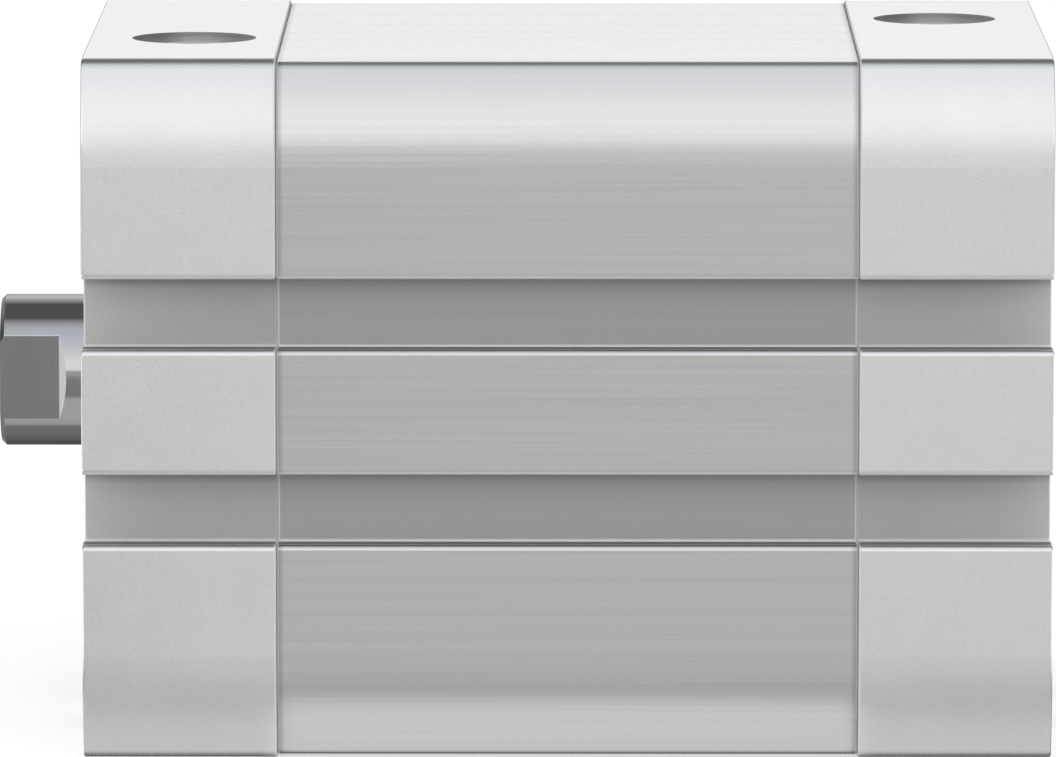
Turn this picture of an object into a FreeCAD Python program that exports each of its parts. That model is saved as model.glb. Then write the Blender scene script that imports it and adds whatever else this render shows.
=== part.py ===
import FreeCAD
import Part
import math
import os
import re
import Sketcher

# Compact pneumatic cylinder: a short square cylinder with a drawn barrel between two caps.
# X runs along the rod axis, from the bearing cap's outer face at X = 0 to the end cap's outer face.
# The rod comes out towards -X, the two supply ports open upwards (+Z), and the sensor slots lie on
# the two sides and the underside. Lengths are in millimetres.

SIZES = {
    # Bore and travel
    "bore": 40.0,
    "stroke": 30.0,
    # Square outline: flat sides that curve in towards a flat top and a flat underside
    "side_wall": 7.25,
    "cap_length": 15.0,
    "barrel_step": 0.25,
    "shoulder_height": 8.25,
    "shoulder_radius": 17.5,
    "cap_edge_round": 1.25,
    "barrel_edge_round": 0.95,
    "face_round": 0.16,
    "barrel_end_round": 0.2,
    # Sensor slots: two on each side, with an undercut behind the lips
    "slot_pitch": 15.2,
    "slot_mouth": 5.45,
    "slot_mouth_round": 0.45,
    "slot_lip": 2.2,
    "slot_room": 3.0,
    "slot_undercut": 0.7,
    "slot_base_round": 0.6,
    "slot_floor_step": 0.15,
    # Cap screws: collar screws with a threaded hole and a hexagon socket below it
    "screw_edge": 8.25,
    "screw_head_diameter": 10.6,
    "screw_head_height": 4.0,
    "screw_head_recess": 0.3,
    "screw_head_gap": 0.3,
    "screw_shank_diameter": 8.4,
    "screw_grip": 12.0,
    "screw_thread_bore": 6.0,
    "screw_thread_depth": 14.0,
    "screw_key": 4.0,
    "screw_key_depth": 3.0,
    "screw_chamfer": 0.6,
    # Supply ports: set off to one side, so that the drilling passes beside the rod
    "port_inset": 6.8,
    "port_offset": 8.2,
    "port_bore": 9.73,
    "port_depth": 9.0,
    "port_drill": 5.5,
    "passage_diameter": 5.0,
    "passage_margin": 0.5,
    "drill_point": 0.6,
    # Cap spigot with its sealing ring, and the pocket behind it
    "spigot_length": 3.2,
    "spigot_wall": 2.4,
    "spigot_gap": 0.05,
    "spigot_clear": 0.3,
    "pocket_depth": 2.0,
    "barrel_seal_section": 1.2,
    "barrel_seal_side_gap": 0.2,
    "bore_lead": 0.4,
    # Cushion rings that the piston lands on
    "cushion_offset": 2.2,
    "cushion_width": 3.3,
    "cushion_thickness": 2.5,
    "cushion_seat": 1.0,
    "cushion_chamfer": 0.4,
    "stop_gap": 0.1,
    # Rod with its wrench flats and the thread in its tip
    "rod_diameter": 12.0,
    "rod_overhang": 7.4,
    "rod_chamfer": 0.35,
    "rod_flat_width": 10.0,
    "rod_flat_length": 4.7,
    "rod_flat_runout": 0.6,
    "rod_flat_round": 0.2,
    "rod_thread_bore": 8.0,
    "rod_thread_chamfer": 0.3,
    "rod_thread_depth": 14.0,
    "rod_neck_diameter": 8.0,
    "rod_neck_chamfer": 0.6,
    "rod_seat": 1.6,
    # Rod bush and rod seal in the bearing cap
    "bush_wall": 1.0,
    "bush_shoulder": 0.6,
    "bush_shoulder_gap": 0.4,
    "bush_chamfer": 0.2,
    "rod_seal_land": 1.0,
    "rod_seal_length": 4.3,
    "rod_seal_height": 3.0,
    "rod_seal_mouth": 1.6,
    "scraper_inset": 0.3,
    "scraper_root": 1.2,
    "lip_wall": 0.7,
    "lip_land": 0.5,
    "lip_notch": 1.1,
    "lip_relief": 0.5,
    # Piston: two halves that hold the magnet, carry the guide ring and clamp the lip seals
    "nose_gap": 0.35,
    "nose_chamfer": 0.5,
    "piston_seal_height": 4.2,
    "piston_seal_room": 1.9,
    "piston_seal_notch": 0.7,
    "piston_web": 0.6,
    "piston_web_gap": 0.8,
    "guide_width": 3.0,
    "guide_wall": 1.9,
    "guide_chamfer": 0.2,
    "magnet_cover": 1.5,
    "magnet_wall": 4.4,
    "magnet_width": 2.4,
    "rod_ring_section": 1.3,
    "rod_ring_start": 3.0,
    "nut_key": 13.0,
    "nut_height": 4.0,
    "nut_recess": 0.3,
    "nut_gap": 0.6,
    "nut_chamfer": 0.55,
    # Centring recess in the end cap's outer face
    "centring_diameter": 9.0,
    "centring_depth": 2.1,
    # Clearances
    "running_gap": 0.05,
    "packing_gap": 0.06,
    "seat_gap": 0.02,
}

WORKED = {
    "half_width": "bore / 2 + side_wall",
    "barrel_half": "half_width - barrel_step",
    "shoulder_start": "half_width - shoulder_height",
    "slot_depth": "slot_lip + slot_room",
    "slot_floor": "half_width - slot_depth",
    "screw_reach": "half_width - screw_edge",
    "screw_length": "cap_length - screw_head_recess + screw_grip",
    "screw_key_start": "screw_head_recess + screw_thread_depth",
    "port_setback": "cap_length - port_inset",
    "pocket_radius": "bore / 2 - spigot_gap - spigot_wall",
    "pocket_floor": "cap_length - pocket_depth",
    "passage_radius": "pocket_radius - passage_margin - passage_diameter / 2",
    "passage_rise": "sqrt(passage_radius^2 - port_offset^2)",
    "barrel_seal_floor": "bore / 2 - barrel_seal_section - 2 * seat_gap",
    "barrel_seal_room": "barrel_seal_section + 2 * barrel_seal_side_gap",
    "barrel_seal_middle": "cap_length + spigot_length / 2",
    "rod_radius": "rod_diameter / 2",
    "cushion_inner": "rod_radius + cushion_offset",
    "cushion_outer": "cushion_inner + cushion_width",
    "stop_plane": "pocket_floor - cushion_seat + cushion_thickness",
    "piston_band": "guide_width + 2 * (piston_web + piston_seal_room)",
    "nose_length": "cap_length + spigot_length + spigot_clear - stop_plane - stop_gap",
    "half_length": "nose_length + piston_band / 2",
    "barrel_length": "stroke + piston_band + 2 * (spigot_length + spigot_clear)",
    "body_length": "barrel_length + 2 * cap_length",
    "piston_back": "body_length - stop_plane - stop_gap",
    "piston_front": "piston_back - 2 * half_length",
    "rod_shoulder": "piston_front + rod_seat + rod_overhang",
    "rod_length": "rod_shoulder + 2 * half_length - rod_seat - nut_recess",
    "bush_start": "rod_seal_land + rod_seal_length + bush_shoulder",
    "nose_radius": "pocket_radius - nose_gap",
    "piston_seal_floor": "bore / 2 - piston_seal_height",
    "piston_seal_back": "nose_length + piston_seal_room",
    "piston_web_radius": "bore / 2 - piston_web_gap",
    "guide_seat": "bore / 2 - running_gap - guide_wall - packing_gap",
    "magnet_outer": "guide_seat - magnet_cover",
    "magnet_inner": "magnet_outer - magnet_wall",
    "magnet_face": "half_length - magnet_width / 2 - seat_gap",
    "neck_hole": "rod_neck_diameter / 2 + seat_gap",
    "rod_ring_floor": "rod_neck_diameter / 2 + rod_ring_section + 2 * seat_gap",
    "rod_ring_room": "rod_ring_section + 4 * seat_gap",
    "nut_corner": "nut_key / sqrt(3)",
}

doc = FreeCAD.newDocument("compact_cylinder")


def bound(text):
    """Turn a formula in plain size names into an expression that points at the sheets' cells."""
    def cell(match):
        word = match.group()
        if word in SIZES:
            return "Sizes." + word
        if word in WORKED:
            return "Worked." + word
        return word
    return re.sub(r"[a-z_]+", cell, text)


def fill_sheet(name, cells):
    sheet = doc.addObject("Spreadsheet::Sheet", name)
    for row, (alias, content) in enumerate(cells.items(), start=1):
        sheet.set(f"A{row}", alias)
        sheet.set(f"B{row}", content)
        sheet.setAlias(f"B{row}", alias)
    return sheet


fill_sheet("Sizes", {alias: str(number) for alias, number in SIZES.items()})
worked = fill_sheet("Worked", {alias: "=" + bound(formula) for alias, formula in WORKED.items()})
doc.recompute()

CLOSE = 1e-4
CUT_MARGIN = "side_wall"
HALF_TURN = 180.0
FULL_TURN = 360.0
SLOTTED_SIDES = 3
CORNERS = 4
FLAT_SIDES = 2


def value(text):
    return float(worked.evalExpression(bound(text)))


def origin_feature(body, role):
    return next(feature for feature in body.Origin.OriginFeatures if feature.Role == role)


def sketch_on(body, plane, name, offset=None):
    """Start a sketch on one of the body's own planes, or at an offset along that plane's normal."""
    sketch = body.newObject("Sketcher::SketchObject", name)
    sketch.AttachmentSupport = [(origin_feature(body, plane), "")]
    sketch.MapMode = "FlatFace"
    if offset:
        sketch.setExpression("AttachmentOffset.Base.z", bound(offset))
    return sketch


def locate(sketch, geometry, position, corner):
    """Hold one point of the sketch at a pair of formulas, measured from the sketch's origin."""
    for direction, text in zip(("DistanceX", "DistanceY"), corner):
        number = sketch.addConstraint(
            Sketcher.Constraint(direction, -1, 1, geometry, position, value(text)))
        sketch.setExpression(f"Constraints[{number}]", bound(text))


def arc_between(start, end, radius, turn):
    """The short arc from start to end, to the left (turn 1) or to the right (turn -1)."""
    chord = end - start
    rise = math.sqrt(radius ** 2 - (chord.Length / 2) ** 2)
    left = FreeCAD.Vector(-chord.y, chord.x, 0).normalize()
    centre = (start + end) / 2 + left * (turn * rise)
    first, last = (start, end) if turn > 0 else (end, start)
    angles = [math.atan2(point.y - centre.y, point.x - centre.x) for point in (first, last)]
    if angles[1] < angles[0]:
        angles[1] += 2 * math.pi
    circle = Part.Circle(centre, FreeCAD.Vector(0, 0, 1), radius)
    return Part.ArcOfCircle(circle, *angles)


def draw_outline(sketch, corners, arcs=None):
    """Draw a closed outline through corners, each a pair of formulas. arcs gives, for the number of
    the corner that an arc starts from, its radius and its turn."""
    arcs = arcs or {}
    points = [FreeCAD.Vector(value(across), value(up), 0) for across, up in corners]
    sides = []
    for number, start in enumerate(points):
        end = points[(number + 1) % len(points)]
        radius, turn = arcs.get(number, (None, 1))
        if radius:
            side = sketch.addGeometry(arc_between(start, end, value(radius), turn))
            constraint = sketch.addConstraint(Sketcher.Constraint("Radius", side, value(radius)))
            sketch.setExpression(f"Constraints[{constraint}]", bound(radius))
        else:
            side = sketch.addGeometry(Part.LineSegment(start, end))
        sides.append((side, 1 if turn > 0 else 2, 2 if turn > 0 else 1))
    for number, (side, start, _) in enumerate(sides):
        before, _, end = sides[number - 1]
        sketch.addConstraint(Sketcher.Constraint("Coincident", before, end, side, start))
        locate(sketch, side, start, corners[number])


def draw_circle(sketch, centre, diameter):
    middle = FreeCAD.Vector(value(centre[0]), value(centre[1]), 0)
    circle = sketch.addGeometry(Part.Circle(middle, FreeCAD.Vector(0, 0, 1), value(diameter) / 2))
    number = sketch.addConstraint(Sketcher.Constraint("Diameter", circle, value(diameter)))
    sketch.setExpression(f"Constraints[{number}]", bound(diameter))
    locate(sketch, circle, 3, centre)


def draw_axis(sketch, start, end):
    """Draw a construction line, which a feature can turn about."""
    points = [FreeCAD.Vector(value(across), value(up), 0) for across, up in (start, end)]
    line = sketch.addGeometry(Part.LineSegment(*points), True)
    locate(sketch, line, 1, start)
    locate(sketch, line, 2, end)


def add_feature(body, kind, sketch, name, **formulas):
    feature = body.newObject("PartDesign::" + kind, name)
    feature.Profile = sketch
    for setting, text in formulas.items():
        feature.setExpression(setting, bound(text))
    return feature


def turn_feature(body, sketch, name, axis="H_Axis"):
    """Add a full turn of a profile about one of its sketch's axes."""
    feature = add_feature(body, "Revolution", sketch, name)
    feature.ReferenceAxis = (sketch, [axis])
    feature.Angle = FULL_TURN
    return feature


def cut_feature(body, kind, sketch, name, through=False, outward=False, axis=None, **formulas):
    """Add a Pocket or a Groove and see that it takes material away."""
    doc.recompute()
    before = body.Shape.Volume
    feature = add_feature(body, kind, sketch, name, **formulas)
    if kind == "Groove":
        feature.ReferenceAxis = (sketch, [axis])
        feature.Angle = FULL_TURN
    else:
        feature.Reversed = outward
    if through:
        feature.Type = "ThroughAll"
        feature.SideType = "Two sides"
        feature.Type2 = "ThroughAll"
    doc.recompute()
    if body.Shape.Volume > before - CLOSE:
        raise RuntimeError(f"{body.Label}: {name} cuts nothing")
    return feature


def repeat_about_rod(body, features, name, count, angle):
    pattern = body.newObject("PartDesign::PolarPattern", name)
    pattern.Originals = features
    pattern.Axis = (origin_feature(body, "X_Axis"), [""])
    pattern.Angle = angle
    pattern.Occurrences = count
    body.Tip = pattern


def round_edges(body, name, radius, chosen):
    """Round those edges of the body so far that chosen accepts."""
    doc.recompute()
    base = body.Tip
    names = [f"Edge{number}" for number, edge in enumerate(base.Shape.Edges, start=1) if chosen(edge)]
    fillet = body.newObject("PartDesign::Fillet", name)
    fillet.Base = (base, names)
    fillet.setExpression("Radius", bound(radius))


def new_body(label):
    body = doc.addObject("PartDesign::Body", label)
    body.Label = label
    return body


def place(part, along, turn=FreeCAD.Rotation()):
    """Set a piece at its distance along the rod axis."""
    part.Placement = FreeCAD.Placement(FreeCAD.Vector(), turn)
    part.setExpression("Placement.Base.x", bound(along))
    return part


END_FOR_END = FreeCAD.Rotation(FreeCAD.Vector(0, 0, 1), HALF_TURN)
ACROSS_ROD = FreeCAD.Rotation(FreeCAD.Vector(0, 1, 0), HALF_TURN / 2)


def turned_body(label, corners):
    """A piece turned about the rod axis from an outline of (distance along, radius) corners."""
    body = new_body(label)
    profile = sketch_on(body, "XZ_Plane", "Profile")
    draw_outline(profile, corners)
    turn_feature(body, profile, "Turning")
    return body


def sealing_ring(label, middle_radius, section):
    ring = doc.addObject("Part::Torus", label)
    ring.Label = label
    ring.setExpression("Radius1", bound(middle_radius))
    ring.setExpression("Radius2", bound(section + " / 2"))
    return ring


def hexagon(across, up, key):
    """Corners of a hexagon about a middle point, key wide across its flats."""
    corner = f"{key} / sqrt(3)"
    return [
        (f"{across} + {corner}", up),
        (f"{across} + {corner} / 2", f"{up} + {key} / 2"),
        (f"{across} - {corner} / 2", f"{up} + {key} / 2"),
        (f"{across} - {corner}", up),
        (f"{across} - {corner} / 2", f"{up} - {key} / 2"),
        (f"{across} + {corner} / 2", f"{up} - {key} / 2"),
    ]


def square_block(label, half, length, edge_round):
    """The block of a cap or the barrel: flat sides that curve in to a flat top and underside, with the
    four long edges rounded."""
    top = f"({half} - shoulder_radius + sqrt(shoulder_radius^2 - ({half} - shoulder_start)^2))"
    body = new_body(label)
    outline = sketch_on(body, "YZ_Plane", "Outline")
    bend = ("shoulder_radius", 1)
    draw_outline(outline, [
        (f"-{top}", f"-{half}"),
        (top, f"-{half}"),
        (half, "-shoulder_start"),
        (half, "shoulder_start"),
        (top, half),
        (f"-{top}", half),
        (f"-{half}", "shoulder_start"),
        (f"-{half}", "-shoulder_start"),
    ], arcs={1: bend, 3: bend, 5: bend, 7: bend})
    add_feature(body, "Pad", outline, "Block", Length=length)
    top_reach, half_reach = value(top), value(half)

    def long_edge(edge):
        middle = edge.BoundBox.Center
        level = abs(abs(middle.z) - half_reach) < CLOSE and abs(abs(middle.y) - top_reach) < CLOSE
        return level and edge.BoundBox.XLength > CLOSE

    round_edges(body, "LongEdges", edge_round, long_edge)
    return body


def slot_outline(sketch, face, floor, middle):
    """One sensor slot, cut from the -Y side: rounded lips, then a wider room with rounded corners."""
    lip = f"{middle} - slot_mouth / 2"
    base = f"{lip} - slot_undercut"
    far_lip = f"{middle} + slot_mouth / 2"
    far_base = f"{far_lip} + slot_undercut"
    outside = f"-{face} - {CUT_MARGIN}"
    shoulder = "slot_lip - half_width"
    rounded_lip = ("slot_mouth_round", -1)
    rounded_corner = ("slot_base_round", 1)
    draw_outline(sketch, [
        (outside, f"{lip} - slot_mouth_round"),
        (f"-{face}", f"{lip} - slot_mouth_round"),
        (f"slot_mouth_round - {face}", lip),
        (shoulder, lip),
        (shoulder, base),
        (f"-{floor} - slot_base_round", base),
        (f"-{floor}", f"{base} + slot_base_round"),
        (f"-{floor}", f"{far_base} - slot_base_round"),
        (f"-{floor} - slot_base_round", far_base),
        (shoulder, far_base),
        (shoulder, far_lip),
        (f"slot_mouth_round - {face}", far_lip),
        (f"-{face}", f"{far_lip} + slot_mouth_round"),
        (outside, f"{far_lip} + slot_mouth_round"),
    ], arcs={1: rounded_lip, 5: rounded_corner, 7: rounded_corner, 11: rounded_lip})


def end_edge(edge):
    """Whether an edge is part of the slotted outline at one end of a cap or the barrel."""
    return edge.BoundBox.XLength < CLOSE and not edge.isClosed()


def cut_slots(body, face, floor):
    """Two slots along each side and the underside. The side with the ports has none."""
    slots = sketch_on(body, "YZ_Plane", "SensorSlots")
    slot_outline(slots, face, floor, "slot_pitch / 2")
    slot_outline(slots, face, floor, "-slot_pitch / 2")
    pair = cut_feature(body, "Pocket", slots, "SlotPair", through=True)
    repeat_about_rod(body, [pair], "SlotPairs", SLOTTED_SIDES, HALF_TURN)


def cut_port(body):
    """The supply port: a threaded hole, a drilling down from it and a passage to the bore."""
    drilling = sketch_on(body, "XZ_Plane", "PortDrilling", offset="port_offset")
    step = "drill_point * (port_bore - port_drill) / 2"
    draw_axis(drilling, ("port_setback", "0"), ("port_setback", "half_width"))
    draw_outline(drilling, [
        ("port_setback", f"half_width + {CUT_MARGIN}"),
        ("port_setback + port_bore / 2", f"half_width + {CUT_MARGIN}"),
        ("port_setback + port_bore / 2", "half_width - port_depth"),
        ("port_setback + port_drill / 2", f"half_width - port_depth - {step}"),
        ("port_setback + port_drill / 2", "passage_rise"),
        ("port_setback", "passage_rise - drill_point * port_drill / 2"),
    ])
    cut_feature(body, "Groove", drilling, "Port", axis="Axis0")
    passage = sketch_on(body, "YZ_Plane", "PortPassage", offset="cap_length")
    draw_circle(passage, ("-port_offset", "passage_rise"), "passage_diameter")
    cut_feature(body, "Pocket", passage, "Passage", Length="port_inset + port_drill / 2")


def cut_screw_seats(body):
    """A clearance hole and a counterbore for the cap screw in each corner."""
    hole = sketch_on(body, "YZ_Plane", "ScrewHole")
    draw_circle(hole, ("screw_reach", "screw_reach"), "screw_shank_diameter + 2 * screw_head_gap")
    clearance = cut_feature(body, "Pocket", hole, "ScrewClearance", through=True)
    seat = sketch_on(body, "YZ_Plane", "ScrewSeat")
    draw_circle(seat, ("screw_reach", "screw_reach"), "screw_head_diameter + 2 * screw_head_gap")
    counterbore = cut_feature(body, "Pocket", seat, "ScrewCounterbore", outward=True,
                              Length="screw_head_recess + screw_head_height")
    repeat_about_rod(body, [clearance, counterbore], "ScrewSeats", CORNERS, FULL_TURN)


def cap_body(label, inside):
    """What both caps share. inside gives the corners of the turned hollow up to the cushion's seat."""
    body = square_block(label, "half_width", "cap_length", "cap_edge_round")
    cut_slots(body, "half_width", "slot_floor")
    round_edges(body, "FaceEdges", "face_round", end_edge)
    spigot = sketch_on(body, "XZ_Plane", "SpigotProfile")
    spigot_radius = "bore / 2 - spigot_gap"
    spigot_end = "cap_length + spigot_length"
    groove_front = "barrel_seal_middle - barrel_seal_room / 2"
    groove_back = "barrel_seal_middle + barrel_seal_room / 2"
    draw_outline(spigot, [
        ("pocket_floor", "pocket_radius"),
        (spigot_end, "pocket_radius"),
        (spigot_end, f"{spigot_radius} - bore_lead"),
        (f"{spigot_end} - bore_lead", spigot_radius),
        (groove_back, spigot_radius),
        (groove_back, "barrel_seal_floor"),
        (groove_front, "barrel_seal_floor"),
        (groove_front, spigot_radius),
        ("pocket_floor", spigot_radius),
    ])
    turn_feature(body, spigot, "Spigot")
    hollow = sketch_on(body, "XZ_Plane", "HollowProfile")
    draw_outline(hollow, inside + [
        ("pocket_floor", "cushion_inner - seat_gap"),
        ("pocket_floor - cushion_seat", "cushion_inner - seat_gap"),
        ("pocket_floor - cushion_seat", "cushion_outer + seat_gap"),
        ("pocket_floor", "cushion_outer + seat_gap"),
        ("pocket_floor", "pocket_radius"),
        (f"{spigot_end} + {CUT_MARGIN}", "pocket_radius"),
        (f"{spigot_end} + {CUT_MARGIN}", "0"),
    ])
    cut_feature(body, "Groove", hollow, "Hollow", axis="H_Axis")
    cut_screw_seats(body)
    cut_port(body)
    return body


def bearing_cap():
    """The cap that the rod passes through, bored for the rod seal and the bush."""
    return cap_body("bearing_cap", inside=[
        (f"-{CUT_MARGIN}", "0"),
        (f"-{CUT_MARGIN}", "rod_radius + rod_seal_mouth"),
        ("rod_seal_land", "rod_radius + rod_seal_mouth"),
        ("rod_seal_land", "rod_radius + rod_seal_height"),
        ("rod_seal_land + rod_seal_length", "rod_radius + rod_seal_height"),
        ("rod_seal_land + rod_seal_length", "rod_radius + bush_shoulder_gap"),
        ("bush_start", "rod_radius + bush_shoulder_gap"),
        ("bush_start", "rod_radius + bush_wall + seat_gap"),
        ("pocket_floor", "rod_radius + bush_wall + seat_gap"),
    ])


def end_cap():
    """The closed cap, with a shallow recess in its outer face that centres what is bolted on."""
    body = cap_body("end_cap", inside=[("pocket_floor", "0")])
    recess = sketch_on(body, "YZ_Plane", "CentringOutline")
    draw_circle(recess, ("0", "0"), "centring_diameter")
    cut_feature(body, "Pocket", recess, "CentringRecess", outward=True, Length="centring_depth")
    return body


def barrel():
    """The drawn profile tube, a little narrower than the caps, with its slot floors a little higher."""
    body = square_block("barrel", "barrel_half", "barrel_length", "barrel_edge_round")
    bore = sketch_on(body, "XZ_Plane", "BoreProfile")
    draw_outline(bore, [
        ("0", "0"),
        ("0", "bore / 2 + bore_lead"),
        ("bore_lead", "bore / 2"),
        ("barrel_length - bore_lead", "bore / 2"),
        ("barrel_length", "bore / 2 + bore_lead"),
        ("barrel_length", "0"),
    ])
    cut_feature(body, "Groove", bore, "Bore", axis="H_Axis")
    cut_slots(body, "barrel_half", "(slot_floor + slot_floor_step)")
    round_edges(body, "SawnEdges", "barrel_end_round", end_edge)
    hole = sketch_on(body, "YZ_Plane", "ScrewHole")
    draw_circle(hole, ("screw_reach", "screw_reach"), "screw_shank_diameter + 2 * seat_gap")
    tapped = cut_feature(body, "Pocket", hole, "ScrewThread", through=True)
    repeat_about_rod(body, [tapped], "ScrewThreads", CORNERS, FULL_TURN)
    return body


def cap_screws(label):
    """Four collar screws. Each head has a threaded hole, with a hexagon socket at its bottom."""
    body = new_body(label)
    profile = sketch_on(body, "XZ_Plane", "ScrewProfile", offset="-screw_reach")
    end = "screw_head_recess + screw_length"
    head_back = "screw_head_recess + screw_head_height"
    head = "screw_reach + screw_head_diameter / 2"
    shank = "screw_reach + screw_shank_diameter / 2"
    thread = "screw_reach + screw_thread_bore / 2"
    draw_axis(profile, ("0", "screw_reach"), (end, "screw_reach"))
    draw_outline(profile, [
        ("screw_head_recess", f"{thread} + screw_chamfer"),
        ("screw_head_recess + screw_chamfer", thread),
        ("screw_key_start", thread),
        ("screw_key_start", "screw_reach"),
        (end, "screw_reach"),
        (end, f"{shank} - screw_chamfer"),
        (f"{end} - screw_chamfer", shank),
        (head_back, shank),
        (head_back, head),
        ("screw_head_recess + screw_chamfer", head),
        ("screw_head_recess", f"{head} - screw_chamfer"),
    ])
    screw = turn_feature(body, profile, "Screw", axis="Axis0")
    socket = sketch_on(body, "YZ_Plane", "SocketOutline", offset="screw_key_start")
    draw_outline(socket, hexagon("screw_reach", "screw_reach", "screw_key"))
    key = cut_feature(body, "Pocket", socket, "Socket", outward=True, Length="screw_key_depth")
    repeat_about_rod(body, [screw, key], "Screws", CORNERS, FULL_TURN)
    return body


def rod_bush():
    inner = "rod_radius + running_gap"
    outer = "rod_radius + bush_wall"
    length = "(pocket_floor - bush_start)"
    return turned_body("rod_bush", [
        ("0", f"{inner} + bush_chamfer"),
        ("bush_chamfer", inner),
        (f"{length} - bush_chamfer", inner),
        (length, f"{inner} + bush_chamfer"),
        (length, f"{outer} - bush_chamfer"),
        (f"{length} - bush_chamfer", outer),
        ("bush_chamfer", outer),
        ("0", f"{outer} - bush_chamfer"),
    ])


def rod_seal():
    """Scraper lip towards the outside, sealing lip with a pressure notch towards the bore."""
    front = "rod_seal_land + seat_gap"
    back = "rod_seal_land + rod_seal_length - seat_gap"
    outer = "rod_radius + rod_seal_height - seat_gap"
    lip = "rod_radius + running_gap"
    return turned_body("rod_seal", [
        (front, outer),
        (back, outer),
        (back, f"{outer} - lip_wall"),
        (f"{back} - lip_notch", "rod_radius + rod_seal_height / 2"),
        (back, f"{lip} + lip_wall"),
        (back, lip),
        (f"{back} - lip_land", lip),
        (f"{back} - lip_land - lip_relief", f"{lip} + lip_relief"),
        (f"{front} + lip_relief", f"{lip} + lip_relief"),
        ("scraper_inset + lip_land", lip),
        ("scraper_inset", lip),
        (front, f"{lip} + scraper_root"),
    ])


def cushion_ring(label):
    return turned_body(label, [
        ("0", "cushion_inner"),
        ("cushion_thickness - cushion_chamfer", "cushion_inner"),
        ("cushion_thickness", "cushion_inner + cushion_chamfer"),
        ("cushion_thickness", "cushion_outer - cushion_chamfer"),
        ("cushion_thickness - cushion_chamfer", "cushion_outer"),
        ("0", "cushion_outer"),
    ])


def piston_rod():
    """The rod, threaded inside its tip, with wrench flats and a neck that holds the piston."""
    neck = "rod_neck_diameter / 2"
    body = turned_body("piston_rod", [
        ("0", "rod_thread_bore / 2 + rod_thread_chamfer"),
        ("rod_thread_chamfer", "rod_thread_bore / 2"),
        ("rod_thread_depth", "rod_thread_bore / 2"),
        ("rod_thread_depth + drill_point * rod_thread_bore / 2", "0"),
        ("rod_length", "0"),
        ("rod_length", f"{neck} - rod_neck_chamfer"),
        ("rod_length - rod_neck_chamfer", neck),
        ("rod_shoulder", neck),
        ("rod_shoulder", "rod_radius"),
        ("rod_chamfer", "rod_radius"),
        ("0", "rod_radius - rod_chamfer"),
    ])
    flats = sketch_on(body, "XY_Plane", "FlatOutline")
    draw_outline(flats, [
        (f"-{CUT_MARGIN}", "rod_flat_width / 2"),
        ("rod_flat_length", "rod_flat_width / 2"),
        ("rod_flat_length + rod_flat_runout", "rod_radius"),
        ("rod_flat_length + rod_flat_runout", f"rod_radius + {CUT_MARGIN}"),
        (f"-{CUT_MARGIN}", f"rod_radius + {CUT_MARGIN}"),
    ])
    flat = cut_feature(body, "Pocket", flats, "WrenchFlat", through=True)
    repeat_about_rod(body, [flat], "WrenchFlats", FLAT_SIDES, FULL_TURN)

    def flat_edge(edge):
        box = edge.BoundBox
        straight = box.YLength < CLOSE and box.ZLength < CLOSE
        return straight and abs(abs(box.Center.y) - value("rod_flat_width / 2")) < CLOSE

    round_edges(body, "FlatEdges", "rod_flat_round", flat_edge)
    return body


def piston_half(label, inside):
    """Half of the piston, from its nose to the middle. inside gives the corners of its bore."""
    return turned_body(label, inside + [
        ("0", "nose_radius - nose_chamfer"),
        ("nose_chamfer", "nose_radius"),
        ("nose_length", "nose_radius"),
        ("nose_length", "piston_seal_floor"),
        ("piston_seal_back", "piston_seal_floor"),
        ("piston_seal_back", "piston_web_radius"),
        ("piston_seal_back + piston_web", "piston_web_radius"),
        ("piston_seal_back + piston_web", "guide_seat"),
        ("half_length", "guide_seat"),
        ("half_length", "magnet_outer + seat_gap"),
        ("magnet_face", "magnet_outer + seat_gap"),
        ("magnet_face", "magnet_inner - seat_gap"),
        ("half_length", "magnet_inner - seat_gap"),
        ("half_length", "neck_hole"),
    ])


def front_piston_half():
    """The half that seats on the rod's shoulder, with a groove for the ring that seals it there."""
    ring_end = "rod_ring_start + rod_ring_room"
    return piston_half("front_piston_half", inside=[
        (ring_end, "neck_hole"),
        (ring_end, "rod_ring_floor"),
        ("rod_ring_start", "rod_ring_floor"),
        ("rod_ring_start", "neck_hole"),
        ("rod_seat", "neck_hole"),
        ("rod_seat", "rod_radius + seat_gap"),
        ("0", "rod_radius + seat_gap"),
    ])


def rear_piston_half():
    """The half that the nut clamps, with a recess that takes the nut."""
    return piston_half("rear_piston_half", inside=[
        ("nut_recess + nut_height", "neck_hole"),
        ("nut_recess + nut_height", "nut_corner + nut_gap"),
        ("0", "nut_corner + nut_gap"),
    ])


def magnet_ring():
    return turned_body("magnet_ring", [
        ("0", "magnet_inner"),
        ("magnet_width", "magnet_inner"),
        ("magnet_width", "magnet_outer"),
        ("0", "magnet_outer"),
    ])


def guide_ring():
    inner = "guide_seat + packing_gap"
    outer = "bore / 2 - running_gap"
    width = "(guide_width - 2 * packing_gap)"
    return turned_body("guide_ring", [
        ("0", inner),
        (width, inner),
        (width, f"{outer} - guide_chamfer"),
        (f"{width} - guide_chamfer", outer),
        ("guide_chamfer", outer),
        ("0", f"{outer} - guide_chamfer"),
    ])


def piston_seal(label):
    """A lip seal: its foot sits in the piston's groove, its lip leans out towards the pressure."""
    front = "nose_length + packing_gap"
    back = "piston_seal_back - packing_gap"
    floor = "piston_seal_floor + packing_gap"
    lip = "bore / 2 - running_gap"
    return turned_body(label, [
        (front, floor),
        (front, "nose_radius"),
        (f"{front} + piston_seal_notch", f"({lip} + nose_radius) / 2"),
        (front, f"{lip} - lip_wall"),
        (front, lip),
        (f"{front} + lip_land", lip),
        (back, "piston_web_radius"),
        (back, floor),
    ])


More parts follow.
